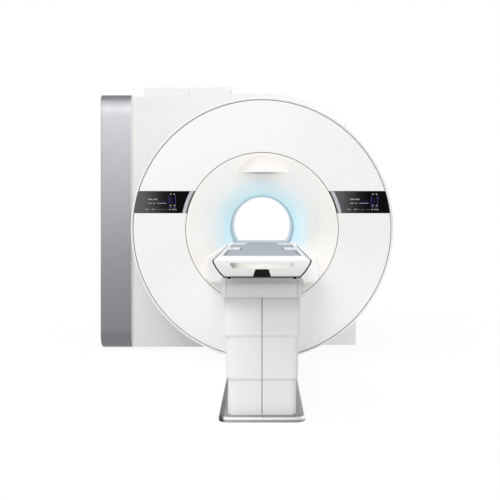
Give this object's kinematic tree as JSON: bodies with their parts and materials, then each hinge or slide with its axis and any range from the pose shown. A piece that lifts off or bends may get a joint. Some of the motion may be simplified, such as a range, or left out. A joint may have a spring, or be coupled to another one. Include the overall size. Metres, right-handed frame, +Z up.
{
  "type": "mri scanner",
  "caption": "Closed-bore magnetic resonance scanner with a ringed front cover, side displays and a lifting patient table.",
  "frame": {"origin": "on the floor, straight below the middle of the patient bore", "axes": "+Z up, +Y along the bore from the table's foot towards the rear, +X to the right seen from the table's foot"},
  "size_m": [2.6529, 4.186, 2.52],
  "materials": {
    "cover_white": "painted and polished moulded cover",
    "funnel_white": "satin moulded funnel",
    "display_black": "black glass over a display",
    "strip_silver": "satin anodised",
    "key_lilac": "soft touch key",
    "seal_grey": "dull",
    "anodised_silver": "satin anodised",
    "frame_steel": "powder coated",
    "magnet_steel": "brushed",
    "helium_aluminium": "satin",
    "motor_grey": "cast",
    "coil_resin": "cast resin",
    "coil_former": "laminate",
    "bore_grey": "satin",
    "ring_light": "lit light guide",
    "deck_white": "moulded laminate",
    "plate_steel": "brushed",
    "column_white": "satin moulded cover",
    "table_white": "satin moulded cover",
    "paddle_black": "fine grained",
    "trim_rubber": "satin",
    "mattress_cover": "wipe-clean coated cloth",
    "socket_white": "satin"
  },
  "bodies": {
    "gantry": {"base_plate": "plate_steel", "body_cover_left": "cover_white", "body_cover_right": "cover_white", "body_front_panel": "cover_white", "body_rf_coil": "coil_former", "bore_bridge": "deck_white", "bore_liner": "bore_grey", "cold_head": "motor_grey", "column_lower": "column_white", "cover_frame": "frame_steel", "dock_cowl": "cover_white", "drum_cover": "cover_white", "floor_frame": "frame_steel", "front_funnel": "funnel_white", "front_ring_lower": "cover_white", "front_ring_upper": "cover_white", "gradient_coil": "coil_resin", "helium_vessel": "helium_aluminium", "inner_seal": "seal_grey", "left_display_glass": "display_black", "left_key_strip": "strip_silver", "lift_drive": "motor_grey", "light_ring": "ring_light", "mast_lower": "frame_steel", "outer_seal": "seal_grey", "rear_cover": "cover_white", "rear_funnel": "funnel_white", "right_display_glass": "display_black", "right_key_strip": "strip_silver", "service_cover_left": "cover_white", "service_cover_right": "cover_white", "silver_side_panel": "anodised_silver", "vacuum_vessel": "magnet_steel"},
    "column_middle": {"column_middle": "column_white", "mast_middle": "frame_steel"},
    "table": {"column_upper": "column_white", "table_chassis": "frame_steel", "cradle_motor": "motor_grey", "housing_front": "table_white", "left_skirt": "table_white", "right_skirt": "table_white", "left_rail": "table_white", "right_rail": "table_white", "end_cap": "table_white", "edge_trim": "trim_rubber"},
    "cradle": {"cradle_board": "deck_white", "mattress": "mattress_cover", "left_coil_socket": "socket_white", "right_coil_socket": "socket_white"},
    "paddle": {"release_paddle": "paddle_black"},
    "left_key_1": {"left_key_1": "key_lilac"},
    "left_key_2": {"left_key_2": "key_lilac"},
    "left_key_3": {"left_key_3": "key_lilac"},
    "left_key_4": {"left_key_4": "key_lilac"},
    "left_key_5": {"left_key_5": "key_lilac"},
    "right_key_1": {"right_key_1": "key_lilac"},
    "right_key_2": {"right_key_2": "key_lilac"},
    "right_key_3": {"right_key_3": "key_lilac"},
    "right_key_4": {"right_key_4": "key_lilac"},
    "right_key_5": {"right_key_5": "key_lilac"}
  },
  "joints": [
    {"name": "table_lift", "type": "slide", "parent": "gantry", "child": "table", "axis": [0, 0, 1], "range_m": [-0.45, 0]},
    {"name": "middle_shell_lift", "type": "slide", "parent": "gantry", "child": "column_middle", "axis": [0, 0, 1], "range_m": [-0.225, 0]},
    {"name": "cradle_slide", "type": "slide", "parent": "table", "child": "cradle", "axis": [0, 1, 0], "range_m": [0, 1.75]},
    {"name": "release_paddle_swing", "type": "hinge", "parent": "table", "child": "paddle", "pos_m": [0, -3.224, 0.97], "axis": [1, 0, 0], "range_deg": [0, 12], "stiffness_Nm_per_rad": 1.5},
    {"name": "left_key_1_press", "type": "slide", "parent": "gantry", "child": "left_key_1", "axis": [0, 1, 0], "range_m": [0, 0.002], "stiffness_N_per_m": 400},
    {"name": "left_key_2_press", "type": "slide", "parent": "gantry", "child": "left_key_2", "axis": [0, 1, 0], "range_m": [0, 0.002], "stiffness_N_per_m": 400},
    {"name": "left_key_3_press", "type": "slide", "parent": "gantry", "child": "left_key_3", "axis": [0, 1, 0], "range_m": [0, 0.002], "stiffness_N_per_m": 400},
    {"name": "left_key_4_press", "type": "slide", "parent": "gantry", "child": "left_key_4", "axis": [0, 1, 0], "range_m": [0, 0.002], "stiffness_N_per_m": 400},
    {"name": "left_key_5_press", "type": "slide", "parent": "gantry", "child": "left_key_5", "axis": [0, 1, 0], "range_m": [0, 0.002], "stiffness_N_per_m": 400},
    {"name": "right_key_1_press", "type": "slide", "parent": "gantry", "child": "right_key_1", "axis": [0, 1, 0], "range_m": [0, 0.002], "stiffness_N_per_m": 400},
    {"name": "right_key_2_press", "type": "slide", "parent": "gantry", "child": "right_key_2", "axis": [0, 1, 0], "range_m": [0, 0.002], "stiffness_N_per_m": 400},
    {"name": "right_key_3_press", "type": "slide", "parent": "gantry", "child": "right_key_3", "axis": [0, 1, 0], "range_m": [0, 0.002], "stiffness_N_per_m": 400},
    {"name": "right_key_4_press", "type": "slide", "parent": "gantry", "child": "right_key_4", "axis": [0, 1, 0], "range_m": [0, 0.002], "stiffness_N_per_m": 400},
    {"name": "right_key_5_press", "type": "slide", "parent": "gantry", "child": "right_key_5", "axis": [0, 1, 0], "range_m": [0, 0.002], "stiffness_N_per_m": 400}
  ],
  "couplings": [
    {"joint": "middle_shell_lift", "follows": "table_lift", "ratio": 0.5}
  ]
}
